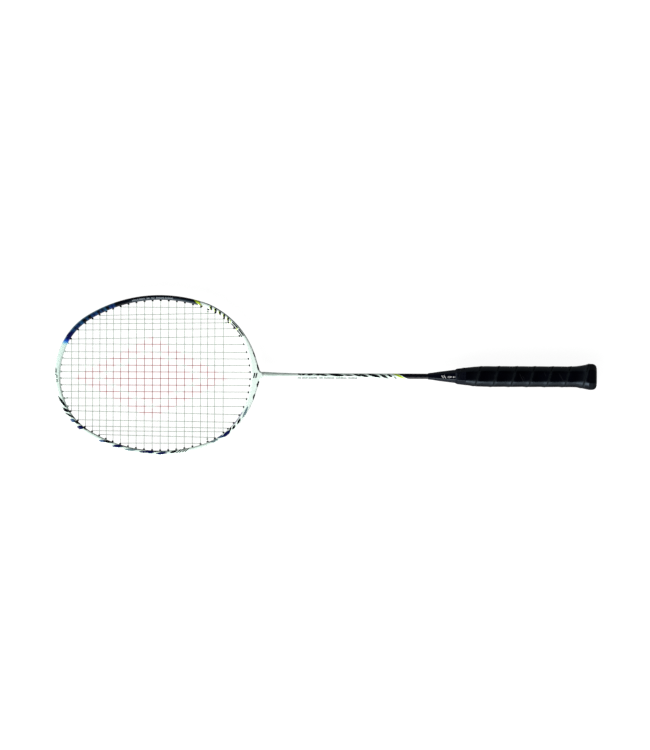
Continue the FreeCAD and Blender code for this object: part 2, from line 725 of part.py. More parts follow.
def main():
    os.makedirs(PARTS, exist_ok=True)
    shapes = {}
    for make in (head_parts, grommet_parts, handle_parts, string_parts):
        shapes.update(make())
    for name, shape in sorted(shapes.items()):
        shape.exportStep(os.path.join(PARTS, name + ".step"))
        print("%-28s solids %3d  valid %s  volume %9.1f mm3  faces %d"
              % (name, len(shape.Solids), shape.isValid(), shape.Volume, len(shape.Faces)))


main()
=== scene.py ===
import math

import bmesh
import bpy
from mathutils import Matrix, Vector
from mathutils.bvhtree import BVHTree


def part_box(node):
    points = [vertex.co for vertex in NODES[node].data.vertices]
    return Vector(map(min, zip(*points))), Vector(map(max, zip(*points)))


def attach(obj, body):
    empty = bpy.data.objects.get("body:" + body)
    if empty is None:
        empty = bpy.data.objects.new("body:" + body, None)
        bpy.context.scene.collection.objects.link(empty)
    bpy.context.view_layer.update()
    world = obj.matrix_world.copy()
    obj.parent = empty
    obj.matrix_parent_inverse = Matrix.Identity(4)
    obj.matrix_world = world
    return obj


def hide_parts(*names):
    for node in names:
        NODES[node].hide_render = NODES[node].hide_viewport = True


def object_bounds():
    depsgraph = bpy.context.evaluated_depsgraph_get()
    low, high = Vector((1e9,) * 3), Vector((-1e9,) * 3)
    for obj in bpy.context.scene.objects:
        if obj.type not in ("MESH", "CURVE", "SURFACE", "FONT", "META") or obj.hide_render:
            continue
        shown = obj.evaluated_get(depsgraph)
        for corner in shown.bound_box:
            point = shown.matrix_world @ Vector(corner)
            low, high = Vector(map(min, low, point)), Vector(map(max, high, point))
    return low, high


# A strung badminton racket lying flat, seen from straight above. Metres, in the CAD's frame: the origin is the
# middle of the butt's end face, +X runs to the head's tip and +Z is square to the strings.

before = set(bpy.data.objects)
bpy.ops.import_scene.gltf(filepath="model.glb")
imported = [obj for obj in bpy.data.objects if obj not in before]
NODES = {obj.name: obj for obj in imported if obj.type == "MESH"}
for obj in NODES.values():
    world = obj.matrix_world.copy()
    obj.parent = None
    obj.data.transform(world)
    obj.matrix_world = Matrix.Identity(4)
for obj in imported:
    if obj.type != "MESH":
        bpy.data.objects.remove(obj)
CAD_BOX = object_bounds()
MM = 0.001


def srgb(red, green, blue):
    """A colour given from 0 to 255 as a screen shows it, in linear light."""
    return tuple(c / 255 / 12.92 if c <= 10 else ((c / 255 + 0.055) / 1.055) ** 2.4
                 for c in (red, green, blue))


MINT = srgb(219, 239, 229)
MINT_PALE = srgb(233, 247, 240)
BLACK = (0.0012, 0.0014, 0.0045)
PRINT_GREY = srgb(150, 160, 168)
TIP_PRINT_BLACK = srgb(20, 24, 28)
SHAFT_PRINT_BLACK = srgb(22, 24, 28)
# the dark arc's inner side: slate print, with a painted sheen of the light from +Y in it
INNER_SLATE_AND_SHEEN = srgb(38, 52, 62)
# a painted highlight: the light caught along the fade's outer edge
RIM_HIGHLIGHT_TEAL = srgb(96, 140, 158)
COOL = (0.62, 0.82, 1.0, 1.0)  # the cast of light on black plastic and leather
NAVY = srgb(8, 14, 72)
STEEL_BLUE = srgb(52, 78, 116)
# slate ink, also used for a line of painted shade along the -Y outer edge
SLATE = srgb(104, 128, 134)
LILAC = srgb(120, 114, 150)
LIME = srgb(178, 206, 48)
OLIVE = srgb(98, 104, 62)
INK_RED = srgb(154, 0, 8)
# the mains' white is the same nylon as the crosses', painted darker as shade
MAIN_WHITE_SHADED = srgb(140, 158, 142)
CROSS_WHITE = srgb(154, 174, 156)

# The hoop's outline outside, as arcs that meet smoothly: the angle of the outward normal, in degrees,
# at which each arc starts, and its radius in mm. The last arc's radius is the one that closes the oval
# on the axis.
OVAL_TIP_X = 675.0
OVAL_BREAKS = [0, 24, 58.5, 110, 116, 163]
OVAL_RADII = [92.5, 82.6, 173.2, 51.0, 106.5]

# Painted marks on the hoop: from one place to another, the half width at both ends, and how much the
# mark swells between. A place is the distance along the outline from the tip, + on the +Y side and
# - on the -Y side, and the depth in from the outline, in mm.
HOOP_BLACK = [
    (26.5, -0.2, 44.5, 4.2, 0.30, 0.50, 0.60), (42.0, -0.4, 52.0, 5.0, 0.50, 0.60, 0.30),
    (44.6, -0.6, 51.0, 5.0, 1.00, 0.90, 0.40), (49.5, -0.4, 63.5, 6.0, 0.55, 0.40, 0.20),
    (65.0, 2.6, 74.0, 6.0, 1.00, 0.65, 0.30), (79.0, 4.1, 86.5, 6.0, 1.05, 0.50, 0.20),
    (111.0, 2.6, 125.0, 6.8, 1.00, 0.55, 0.60), (135.0, 4.8, 144.0, 7.0, 0.90, 0.60, 0.10),
    (153.0, 5.5, 168.0, 5.8, 0.35, 0.45, 0.10), (177.0, 4.4, 184.0, 5.4, 0.80, 0.35, 0.00),
    (197.0, 2.2, 206.0, 4.2, 0.45, 0.70, 0.30), (279.5, 1.8, 284.0, 4.4, 0.95, 0.55, 0.00),
    (283.5, 0.9, 290.0, 2.4, 0.60, 0.55, 0.30), (292.5, 0.9, 300.5, 2.6, 0.60, 0.65, 0.30),
    (247.0, 6.0, 251.0, 4.2, 0.35, 0.35, 0.00), (328.5, -0.8, 336.5, 0.4, 0.30, 0.60, 0.55),
    (-328.5, 0.2, -336.5, 1.2, 0.30, 0.60, 0.55)]
HOOP_HATCHING = [(205.5 + 3.6 * k, 1.6, 211.3 + 3.6 * k, 5.0, 0.62, 0.50, 0.0) for k in range(4)]
HOOP_NAVY = [
    (72.8, -0.6, 79.6, 4.3, 1.50, 1.40, 0.50), (122.0, 0.3, 136.5, 5.0, 0.30, 1.30, 0.55),
    (157.5, 2.2, 170.0, 3.2, 0.35, 1.00, 0.10), (166.5, 3.6, 178.0, 4.4, 1.50, 0.80, 0.75),
    (179.5, 1.7, 193.5, 2.6, 0.70, 0.50, 0.45), (268.0, 1.3, 280.0, 1.9, 1.20, 1.20, 0.50),
    (-51.0, 3.2, -58.0, 3.4, 2.40, 1.50, 0.60)]
HOOP_STEEL_BLUE = [
    (104.5, 0.2, 114.0, 3.2, 0.30, 1.30, 0.30), (59.8, -0.8, 66.0, 3.2, 0.90, 1.20, 0.50),
    (261.0, 5.0, 270.0, 1.4, 0.60, 1.10, 0.20)]
HOOP_SLATE_AND_SHADE = [
    (139.0, 1.2, 155.0, 4.4, 0.55, 0.45, 0.55), (181.0, 5.0, 196.5, 4.8, 0.45, 0.70, 0.10),
    (251.0, 4.4, 256.5, 1.6, 0.40, 0.60, 0.15), (255.0, 5.0, 260.5, 1.8, 0.70, 0.80, 0.20),
    # the mark from -229 to -306 is painted shade: a thin slate line along the -Y outer edge
    (303.0, 1.0, 319.0, 2.5, 0.60, 0.45, 0.45), (-229.0, 1.0, -306.0, 1.0, 0.10, 0.10, 0.10)]
HOOP_LILAC = [(285.0, 4.6, 302.0, 4.8, 0.35, 0.40, 0.10), (302.0, 4.9, 309.0, 5.1, 0.35, 0.25, 0.00)]
HOOP_LIME = [(-226.5, 0.9, -236.0, 4.8, 0.35, 0.40, 0.55)]
HOOP_OLIVE = [(-233.5, 4.4, -240.0, 6.2, 0.60, 0.30, 0.20), (-228.5, 0.4, -237.5, 3.6, 0.10, 0.10, 0.05)]
# A plain row of leaning bars with lime edges, then two pairs of stripes, on the shoulder
SHOULDER_BARS = [-(250.0 + 6.6 * k) for k in range(5)]
HOOP_BARS = [(s, 3.2, s - 2.6, 6.8, 1.35, 1.25, 0.0) for s in SHOULDER_BARS]
HOOP_BARS += [(-s, d, -(s + 9.0), d, 0.80, 0.80, 0.0) for s in (283.5, 296.0) for d in (3.0, 5.3)]
HOOP_BAR_EDGES = [(s + 1.7, 3.0, s - 0.9, 6.8, 0.60, 0.60, 0.0)
                  for s in SHOULDER_BARS + [-281.5, -294.0]]
# Marks beside the shaft's joint, and two short slashes on it, as (x, y) to (x, y)
JOINT_BLACK = [(422.9, 14.0, 421.1, 7.4, 0.50, 0.60, 0.70), (422.6, -13.4, 421.0, -6.7, 0.60, 0.50, 0.70),
               (427.2, 2.2, 426.0, -2.8, 0.85, 0.85, 0.00), (424.6, 2.2, 423.4, -2.8, 0.85, 0.85, 0.00)]
# The fade on the -Y side: the distance along the outline from the tip, in mm, and the colour there
FADE = [(39.0, (214, 236, 227)), (41.5, (176, 226, 230)), (43.5, (96, 168, 222)), (45.5, (34, 84, 196)),
        (48.0, (10, 26, 112)), (52.0, (4, 10, 66)), (59.0, (6, 18, 66)), (63.0, (16, 54, 96)), (66.0, (8, 16, 48)),
        (70.0, (16, 48, 92)), (73.0, (8, 18, 52)), (76.5, (24, 70, 112)), (80.0, (2, 6, 18)), (83.5, (2, 6, 18)),
        (85.5, (20, 60, 100)), (88.5, (2, 4, 12)), (91.0, (2, 6, 20)), (93.0, (18, 54, 98)), (96.0, (6, 16, 56)),
        (99.5, (22, 62, 106)), (101.5, (6, 10, 26)), (103.5, (6, 10, 26)), (105.5, (22, 54, 92)),
        (108.0, (6, 8, 34)), (112.0, (32, 76, 108)), (114.0, (4, 6, 18)), (116.5, (4, 6, 18)),
        (118.5, (18, 54, 104)), (121.0, (4, 14, 72)), (124.0, (18, 50, 92)), (126.0, (4, 8, 18))]
PRINT_SHIFT = 0.6              # mm by which the print lies towards -Y, round the whole hoop
INK_SPREAD = 0.52              # mm that a brush mark's edge runs beyond its stated width, at its middle
BRUSH = 0.60                   # how much of its stated width a brush mark keeps at its ends
BLACK_ENDS = 226.0             # mm along the outline, where the dark arc stops at its outer edge
BLACK_ENDS_LEAN = -1.25        # mm that this end moves for each mm of depth
FADE_LEAN = -0.25              # the same for the fade's bars
INNER_FROM = 146.0             # mm along the outline, where the dark arc turns slate on its inner side: print with a painted sheen in it
RIM_FROM, RIM_TO = 45.0, 122.0  # mm along the outline, between which a teal highlight is painted along the fade's outer edge
PALE_FROM, PALE_TO = 150.0, 300.0  # mm along the outline, between which the mint grows pale

# Runs of small printed dashes, in mm. A run goes from start to end, centred on at across it, and ends at
# height from there on both sides. It has a dash every period, which reaches fill of a period from its
# own middle.
ARC_PRINT = {"start": 147.5, "end": 200.0, "at": 4.2, "height": 0.9, "period": 1.45}
TIP_PRINT = {"start": -9.0, "end": 9.5, "at": 1.9, "height": 1.3, "period": 1.7, "seed": 2.0, "fill": 0.34}
SHAFT_PRINT = {"start": 298.0, "end": 373.0, "at": 3.3, "height": 1.6, "period": 1.6, "seed": 3.0,
               "fill": 0.40}
CONE_PRINT = {"start": 176.5, "end": 186.5, "at": 0.9, "height": 1.1, "period": 1.9, "seed": 8.0}
CONE_BARS = [(x, -0.9, x - 1.9, 2.2, 0.45, 0.45, 0.0) for x in (193.0, 190.2)]

SHAFT_ROUND = 3.4              # mm, the radius that the shaft's paint is laid out on
CONE_ROUND = 7.5               # and the cone's

# Painted marks on the shaft, in mm: along it, and round it from its upper side
SHAFT_BLACK = [
    (372.4, -2.9, 367.8, -1.1, 0.37, 0.37, 0.12), (367.8, -1.1, 362.8, -2.4, 0.37, 0.37, 0.12),
    (360.9, -1.1, 352.2, -2.9, 0.37, 0.50, 0.50), (351.0, -2.1, 345.3, -1.1, 0.37, 0.25, 0.12),
    (348.5, -3.1, 335.4, -0.4, 0.25, 0.37, 0.37), (334.8, -2.9, 314.8, -0.4, 0.37, 0.25, 1.12),
    (314.8, -1.4, 303.6, -0.4, 0.37, 0.25, 0.12), (303.8, -3.0, 293.6, 0.0, 0.25, 0.50, 0.37),
    (296.0, -2.4, 284.0, 1.2, 0.50, 0.25, 0.62), (286.3, -3.6, 269.3, 1.6, 0.37, 0.62, 0.75),
    (270.4, -2.6, 258.9, 3.7, 0.50, 0.25, 0.62), (261.3, -2.6, 254.6, 1.1, 0.37, 0.37, 0.37),
    (252.4, 1.1, 248.9, 4.2, 0.37, 0.37, 0.00)]
SHAFT_LIME = [(254.0, -4.4, 238.5, 3.8, 1.10, 0.45, 0.60)]
SHAFT_BLACK_ENDS = 242.0       # mm from the butt, where the shaft's black part ends on its upper side
SHAFT_BLACK_LEAN = 1.6         # mm that this end moves for each mm round the shaft

# The lozenge on the strings, in mm: its middle, and how far it reaches from there along x and y. Its core
# and the band round it end at these shares of that reach.
LOZENGE_X, LOZENGE_Y = 555.0, 3.0
LOZENGE_REACH_X, LOZENGE_REACH_Y = 90.0, 48.0
LOZENGE_CORE = 0.68
LOZENGE_BAND = (0.81, 1.07)
BRAID = 11.0                   # radians for each mm along a string's wrap

# The pale grommet strip crosses the tip: its half length in y, and where x is beyond this, in mm
PALE_STRIP_Y = 43.0
PALE_STRIP_X = 600.5

# The grip's tape
PITCH = 22.35 * MM             # advance of the tape per turn
TAPE_WIDTH = 25.6 * MM
TAPE_THICK = 1.35 * MM
SEAM_X = 53.4 * MM             # a turn's lower edge, on the -Y side of the handle
TURN_STEPS = 96
LOW_EDGE_RISE = 0.60 * MM      # how far a turn's bevelled lower edge stands above the turn that it covers
LOW_EDGE_RUN = 5.5 * MM        # and how far across the tape this rise fades out
EDGE_BEVEL = 0.30 * MM
EDGE_BEVEL_RUN = 0.7 * MM
CROWN = 0.45 * MM              # how far the padded tape swells between its edges
TUCK_DEPTH = 0.95 * MM         # how far the covered upper edge is pressed down
TUCK_EARLY = 0.4 * MM          # and how far before the next turn's edge this starts
CLEARANCE = 0.02 * MM
THINNEST = 0.12 * MM
SETTLED = 0.12 * MM            # how far the pull of the winding draws the tape in
# Where the tape's section is worked out, in mm from its lower edge
TAPE_SAMPLES = [0.0, 0.25, 0.7, 1.3, 2.0, 2.7, 3.4, 4.3, 5.5, 7.5, 10.0, 12.5, 14.5, 16.0, 17.5, 18.7, 19.8,
                20.9, 21.9, 22.6, 23.4, 24.2, 25.6]
GRID_COLUMNS = 84              # places along the handle where its radius is measured
OUTSIDE_HANDLE = 50 * MM       # further from the axis than any point of the handle
# Fine creases on the grip's upper side, painted lighter as the sheen they catch, as (x, y) to (x, y), with half
# widths
GRIP_CREASES = [(96.5, -3.6, 91.5, 6.0, 0.20, 0.35, 0.15), (47.5, -4.6, 42.0, 5.0, 0.20, 0.30, 0.20),
                (92.8, -1.0, 89.6, 4.0, 0.15, 0.20, 0.10), (66.0, -5.5, 63.5, -1.0, 0.15, 0.20, 0.10),
                (128.0, -2.0, 124.5, 4.5, 0.15, 0.25, 0.10)]


# ================================================================ materials
class Look:
    """A Principled material, with short calls for the nodes that the looks here are made from. Its place is the
    point that is shaded, in mm."""

    def __init__(self, name, **sockets):
        self.material = bpy.data.materials.new(name)
        self.material.use_nodes = True
        self.tree = self.material.node_tree
        self.shader = self.tree.nodes["Principled BSDF"]
        for socket, value in sockets.items():
            self.shader.inputs[socket.replace("_", " ")].default_value = value
        coordinates = self.tree.nodes.new("ShaderNodeTexCoord")
        self.place = self.vector("SCALE", coordinates.outputs["Object"], scale=1 / MM)
        parts = self.tree.nodes.new("ShaderNodeSeparateXYZ")
        self.tree.links.new(self.place, parts.inputs[0])
        self.x, self.y, self.z = parts.outputs

    def feed(self, socket, value):
        if isinstance(value, bpy.types.NodeSocket):
            self.tree.links.new(value, socket)
        elif hasattr(socket.default_value, "__len__") and len(socket.default_value) == 4:
            socket.default_value = (*value, 1.0)
        else:
            socket.default_value = value

    def node(self, kind, settings=None, **inputs):
        made = self.tree.nodes.new(kind)
        for key, value in (settings or {}).items():
            setattr(made, key, value)
        for key, value in inputs.items():
            self.feed(made.inputs[key.replace("_", " ")], value)
        return made

    def math(self, operation, *values):
        made = self.node("ShaderNodeMath", {"operation": operation})
        for socket, value in zip(made.inputs, values):
            self.feed(socket, value)
        return made.outputs[0]

    def vector(self, operation, *values, scale=None):
        made = self.node("ShaderNodeVectorMath", {"operation": operation})
        for socket, value in zip(made.inputs, values):
            self.feed(socket, value)
        if scale is not None:
            made.inputs["Scale"].default_value = scale
        return made.outputs["Value"] if operation in ("DOT_PRODUCT", "LENGTH") else made.outputs["Vector"]

    def blend(self, factor, a, b):
        """The number a where factor is 0, and b where it is 1."""
        return self.math("MULTIPLY_ADD", factor, self.math("SUBTRACT", b, a), a)

    def joined(self, x, y, z=0.0):
        return self.node("ShaderNodeCombineXYZ", X=x, Y=y, Z=z).outputs[0]

    def step(self, value, low, high):
        """0 below low, 1 above high, and smooth between. With low over high, it falls."""
        falls = low > high
        made = self.node("ShaderNodeMapRange", {"interpolation_type": "SMOOTHSTEP"}, Value=value,
                         From_Min=min(low, high), From_Max=max(low, high),
                         To_Min=float(falls), To_Max=float(not falls))
        return made.outputs[0]

    def noise(self, vector, scale, detail=3.0, roughness=0.5):
        return self.node("ShaderNodeTexNoise", Vector=vector, Scale=scale, Detail=detail,
                         Roughness=roughness).outputs["Fac"]

    def cells(self, vector, scale):
        return self.node("ShaderNodeTexVoronoi", Vector=vector, Scale=scale).outputs["Distance"]

    def mix(self, factor, a, b):
        made = self.node("ShaderNodeMix", {"data_type": "RGBA"})
        self.feed(made.inputs["Factor"], factor)
        for socket, value in zip([s for s in made.inputs if s.type == "RGBA"], (a, b)):
            self.feed(socket, value)
        return [s for s in made.outputs if s.type == "RGBA"][0]

    def ramp(self, factor, stops):
        made = self.node("ShaderNodeValToRGB", Fac=factor)
        elements = made.color_ramp.elements
        while len(elements) < len(stops):
            elements.new(1.0)
        for element, (position, colour) in zip(elements, stops):
            element.position = position
            element.color = (*colour, 1.0)
        return made.outputs["Color"]

    def bump(self, height, strength, distance):
        made = self.node("ShaderNodeBump", Height=height)
        made.inputs["Strength"].default_value = strength
        made.inputs["Distance"].default_value = distance * MM
        self.tree.links.new(made.outputs[0], self.shader.inputs["Normal"])

    def finish(self, colour, roughness):
        self.feed(self.shader.inputs["Base Color"], colour)
        self.feed(self.shader.inputs["Roughness"], roughness)
        return self.material

    def marks(self, place, marks, spread=0.0, taper=1.0):
        """Where any of the marks lies, from 0 to 1. Each is wider by spread on both sides at its middle,
        and keeps the share taper of its stated width at its ends."""
        group = mark_group()
        covered = None
        for x0, y0, x1, y1, r0, r1, swell in marks:
            made = self.tree.nodes.new("ShaderNodeGroup")
            made.node_tree = group
            self.tree.links.new(place, made.inputs["Place"])
            made.inputs["From"].default_value = (x0, y0, 0.0)
            made.inputs["To"].default_value = (x1, y1, 0.0)
            made.inputs["Start"].default_value = r0 * taper
            made.inputs["End"].default_value = r1 * taper
            made.inputs["Swell"].default_value = swell + spread + (1.0 - taper) * (r0 + r1) / 2
            here = made.outputs[0]
            covered = here if covered is None else self.math("MAXIMUM", covered, here)
        return covered


def mark_group():
    """A node group: one mark between two points, with its half width at each end and a swelling between."""
    group = bpy.data.node_groups.get("brush_mark")
    if group:
        return group
    group = bpy.data.node_groups.new("brush_mark", "ShaderNodeTree")
    for kind, names in (("NodeSocketVector", ("Place", "From", "To")),
                        ("NodeSocketFloat", ("Start", "End", "Swell"))):
        for name in names:
            group.interface.new_socket(name, in_out="INPUT", socket_type=kind)
    group.interface.new_socket("Covered", in_out="OUTPUT", socket_type="NodeSocketFloat")
    given = group.nodes.new("NodeGroupInput")
    result = group.nodes.new("NodeGroupOutput")

    def chain(kind, operation, *values, output=0):
        made = group.nodes.new(kind)
        made.operation = operation
        for socket, value in zip(made.inputs, values):
            if isinstance(value, bpy.types.NodeSocket):
                group.links.new(value, socket)
            else:
                socket.default_value = value
        return made.outputs[output]

    vector, number = "ShaderNodeVectorMath", "ShaderNodeMath"
    along = chain(vector, "SUBTRACT", given.outputs["To"], given.outputs["From"])
    out = chain(vector, "SUBTRACT", given.outputs["Place"], given.outputs["From"])
    dot = chain(vector, "DOT_PRODUCT", out, along, output=1)
    length = chain(vector, "DOT_PRODUCT", along, along, output=1)
    share = chain(number, "DIVIDE", dot, length)
    share = chain(number, "MINIMUM", chain(number, "MAXIMUM", share, 0.0), 1.0)
    nearest = group.nodes.new("ShaderNodeVectorMath")
    nearest.operation = "SCALE"
    group.links.new(along, nearest.inputs[0])
    group.links.new(share, nearest.inputs["Scale"])
    gap = chain(vector, "LENGTH", chain(vector, "SUBTRACT", out, nearest.outputs[0]), output=1)
    rest = chain(number, "SUBTRACT", 1.0, share)
    ends = chain(number, "ADD", chain(number, "MULTIPLY", given.outputs["Start"], rest),
                 chain(number, "MULTIPLY", given.outputs["End"], share))
    belly = chain(number, "MULTIPLY", chain(number, "MULTIPLY", share, rest), 4.0)
    half = chain(number, "ADD", ends, chain(number, "MULTIPLY", belly, given.outputs["Swell"]))
    # the edge turns from bare to ink over a quarter of a mm
    inside = chain(number, "MULTIPLY", chain(number, "SUBTRACT", half, gap), 4.0)
    edge = chain(number, "ADD", inside, 0.5)
    group.links.new(chain(number, "MINIMUM", chain(number, "MAXIMUM", edge, 0.0), 1.0), result.inputs[0])
    return group


def dashes(look, along, across, start, end, at, height, period, seed=0.0, fill=0.26):
    """A run of small dashes of printed ink that spell nothing, with wider gaps here and there."""
    inside = look.math("MULTIPLY", look.step(along, start, start + 0.3), look.step(along, end, end - 0.3))
    band = look.step(look.math("ABSOLUTE", look.math("SUBTRACT", across, at)), height, height * 0.6)
    bars = look.math("FRACT", look.math("DIVIDE", look.math("ADD", along, 100.0), period))
    bars = look.step(look.math("ABSOLUTE", look.math("SUBTRACT", bars, 0.5)), fill + 0.08, fill)
    gaps = look.noise(look.joined(look.math("MULTIPLY", along, 0.11), seed), 3.0, 0.0)
    bars = look.math("MULTIPLY", bars, look.step(gaps, 0.36, 0.42))
    return look.math("MULTIPLY", look.math("MULTIPLY", inside, band), bars)


def dragged(look, along, across, depth):
    """The place (along, across), with the ragged edges that a brush leaves, drawn out along the stroke."""
    drag = look.noise(look.joined(look.math("MULTIPLY", along, 0.25), across), 1.6, 2.0)
    return look.joined(along, look.math("ADD", across, look.math("MULTIPLY_ADD", drag, depth, -depth / 2)))


def hoop_place(look):
    """Where a point of the hoop is: the distance along the outline from the tip, and the depth in from it."""
    far_y = look.math("ABSOLUTE", look.y)
    along = depth = None
    centre, radius, travelled = Vector((OVAL_TIP_X - OVAL_RADII[0], 0.0)), OVAL_RADII[0], 0.0
    for k, start in enumerate(map(math.radians, OVAL_BREAKS)):
        if k:
            normal = Vector((math.cos(start), math.sin(start)))
            travelled += radius * (start - math.radians(OVAL_BREAKS[k - 1]))
            arm = OVAL_RADII[k] if k < len(OVAL_RADII) else (centre + normal * radius).y / normal.y
            centre, radius = centre + normal * (radius - arm), arm
        offset_x = look.math("SUBTRACT", look.x, centre.x)
        offset_y = look.math("SUBTRACT", far_y, centre.y)
        turned = look.math("SUBTRACT", look.math("ARCTAN2", offset_y, offset_x), start)
        this_along = look.math("MULTIPLY_ADD", turned, radius, travelled)
        this_depth = look.math("SUBTRACT", radius, look.vector("LENGTH", look.joined(offset_x, offset_y)))
        if along is None:
            along, depth = this_along, this_depth
        else:
            here = look.math("GREATER_THAN", turned, 0.0)
            along = look.blend(here, along, this_along)
            depth = look.blend(here, depth, this_depth)
    return along, depth


def hoop_paint():
    """Mint paint under a clear coat. The arc on the -Y side fades through blue and navy to black."""
    look = Look("hoop_paint", Coat_Weight=0.12, Coat_Roughness=0.10, IOR=1.5, Specular_IOR_Level=0.12)
    along, depth = hoop_place(look)
    side = look.math("SIGN", look.y)
    depth = look.math("MULTIPLY_ADD", side, -PRINT_SHIFT, depth)
    signed = look.math("MULTIPLY", along, side)
    flat = look.joined(signed, depth)
    minus = look.math("LESS_THAN", look.y, 0.0)
    pale = look.math("MULTIPLY", look.step(along, PALE_FROM, PALE_TO), 0.75)
    pale = look.math("MAXIMUM", pale, look.step(look.noise(look.place, 0.05, 2.0), 0.4, 0.8))
    mint = look.mix(pale, MINT, MINT_PALE)

    # the fade's bars lean a little, and their edges are ragged
    ragged = look.math("MULTIPLY", look.math("SUBTRACT", look.noise(flat, 0.5, 2.0), 0.5), 3.0)
    leaning = look.math("ADD", look.math("MULTIPLY_ADD", depth, FADE_LEAN, look.math("ADD", along, 0.8)), ragged)
    first, last = FADE[0][0], FADE[-1][0]
    fade = look.ramp(look.math("DIVIDE", look.math("SUBTRACT", leaning, first), last - first),
                     [((place - first) / (last - first), srgb(*colour)) for place, colour in FADE])
    # the inner side turns slate: print, with a painted sheen of the light from +Y
    inner = look.math("MULTIPLY", look.step(depth, 2.9, 4.4), look.step(along, INNER_FROM - 6.0, INNER_FROM + 6.0))
    fade = look.mix(look.math("MULTIPLY", inner, 0.9), fade, INNER_SLATE_AND_SHEEN)
    # painted highlight: teal along the fade's outer edge, where it catches the light
    rim = look.math("MULTIPLY", look.step(along, RIM_FROM - 3.0, RIM_FROM + 3.0),
                    look.step(along, RIM_TO + 10.0, RIM_TO - 10.0))
    rim = look.math("MULTIPLY", look.step(depth, 2.6, 0.9), rim)
    rim = look.math("MULTIPLY", rim, look.math("MULTIPLY_ADD", look.noise(flat, 0.35, 2.0), 0.5, 0.5))
    fade = look.mix(rim, fade, RIM_HIGHLIGHT_TEAL)
    fade = look.mix(dashes(look, along, depth, **ARC_PRINT), fade, PRINT_GREY)
    ends = look.math("MULTIPLY_ADD", depth, BLACK_ENDS_LEAN, along)
    dark = look.math("MULTIPLY", minus, look.step(ends, BLACK_ENDS + 0.3, BLACK_ENDS - 0.3))
    colour = look.mix(dark, mint, fade)

    colour = look.mix(dashes(look, signed, depth, **TIP_PRINT), colour, TIP_PRINT_BLACK)
    flat = dragged(look, signed, depth, 1.2)
    # the slate marks include a line of painted shade along the -Y outer edge
    for marks, ink in ((HOOP_SLATE_AND_SHADE, SLATE), (HOOP_LILAC, LILAC), (HOOP_STEEL_BLUE, STEEL_BLUE), (HOOP_NAVY, NAVY),
                       (HOOP_OLIVE, OLIVE), (HOOP_LIME, LIME)):
        colour = look.mix(look.marks(flat, marks, INK_SPREAD, BRUSH), colour, ink)
    colour = look.mix(look.marks(flat, HOOP_BAR_EDGES), colour, LIME)
    colour = look.mix(look.marks(flat, HOOP_BLACK, INK_SPREAD, BRUSH), colour, BLACK)
    colour = look.mix(look.marks(flat, HOOP_HATCHING + HOOP_BARS), colour, BLACK)
    colour = look.mix(look.marks(look.joined(look.x, look.y), JOINT_BLACK), colour, BLACK)
    look.bump(look.noise(look.place, 1.4, 3.0), 0.10, 0.04)
    return look.finish(colour, look.math("MULTIPLY_ADD", look.noise(look.place, 0.35, 3.0), 0.10, 0.28))


def shaft_paint():
    """Mint at the throat, brush marks along the middle, and black towards the handle."""
    look = Look("shaft_paint", Coat_Weight=0.2, Coat_Roughness=0.08, IOR=1.5, Specular_IOR_Level=0.15)
    turn = look.math("ARCTAN2", look.y, look.math("ABSOLUTE", look.z))
    round_it = look.math("MULTIPLY", turn, SHAFT_ROUND)
    flat = dragged(look, look.x, round_it, 1.0)
    colour = look.mix(look.step(look.noise(look.place, 0.06, 2.0), 0.35, 0.7), MINT, MINT_PALE)
    colour = look.mix(dashes(look, look.x, round_it, **SHAFT_PRINT), colour, SHAFT_PRINT_BLACK)
    colour = look.mix(look.marks(flat, SHAFT_BLACK, INK_SPREAD + 0.1, BRUSH), colour, BLACK)
    colour = look.mix(look.marks(flat, SHAFT_LIME, 0.0, BRUSH), colour, LIME)
    slope = look.math("MULTIPLY_ADD", round_it, SHAFT_BLACK_LEAN, look.x)
    colour = look.mix(look.step(slope, SHAFT_BLACK_ENDS + 0.3, SHAFT_BLACK_ENDS - 0.3), colour, BLACK)
    look.bump(look.noise(look.place, 1.6, 3.0), 0.08, 0.03)
    return look.finish(colour, look.math("MULTIPLY_ADD", look.noise(look.place, 0.4, 3.0), 0.10, 0.26))


def string_nylon(name, white):
    """A braided wrap under a clear coating, with a lozenge stencilled in red across the bed."""
    look = Look(name, Coat_Weight=0.10, Coat_Roughness=0.2, IOR=1.53, Specular_IOR_Level=0.3,
                Subsurface_Weight=0.05, Subsurface_Scale=0.0006)
    # two strands that cross, one each way round the string
    strands = [look.math("ADD", look.x, look.math("ADD", look.y, look.z)),
               look.math("SUBTRACT", look.x, look.math("SUBTRACT", look.y, look.z))]
    braid = look.math("MAXIMUM", *(look.math("SINE", look.math("MULTIPLY", strand, BRAID)) for strand in strands))
    # one lozenge, and a band on each side of it that follows its slope
    along = look.math("ABSOLUTE", look.math("SUBTRACT", look.x, LOZENGE_X))
    across = look.math("ABSOLUTE", look.math("SUBTRACT", look.y, LOZENGE_Y))
    reach = look.math("ADD", look.math("DIVIDE", along, LOZENGE_REACH_X),
                      look.math("DIVIDE", across, LOZENGE_REACH_Y))
    core = look.step(reach, LOZENGE_CORE + 0.01, LOZENGE_CORE - 0.01)
    low, high = LOZENGE_BAND
    band = look.math("MULTIPLY", look.step(reach, low - 0.01, low + 0.01),
                     look.step(reach, high + 0.01, high - 0.01))
    ink = look.math("MAXIMUM", core, band)
    worn = look.step(look.noise(look.place, 0.9, 3.0), 0.18, 0.42)
    ink = look.math("MULTIPLY", ink, look.math("MULTIPLY_ADD", worn, 0.2, 0.8))
    shade = look.step(look.noise(look.place, 0.12, 2.0), 0.3, 0.7)
    white = look.mix(shade, white, tuple(c * 1.12 for c in white))
    look.bump(braid, 0.25, 0.05)
    return look.finish(look.mix(ink, white, INK_RED), look.math("MULTIPLY_ADD", ink, 0.25, 0.36))


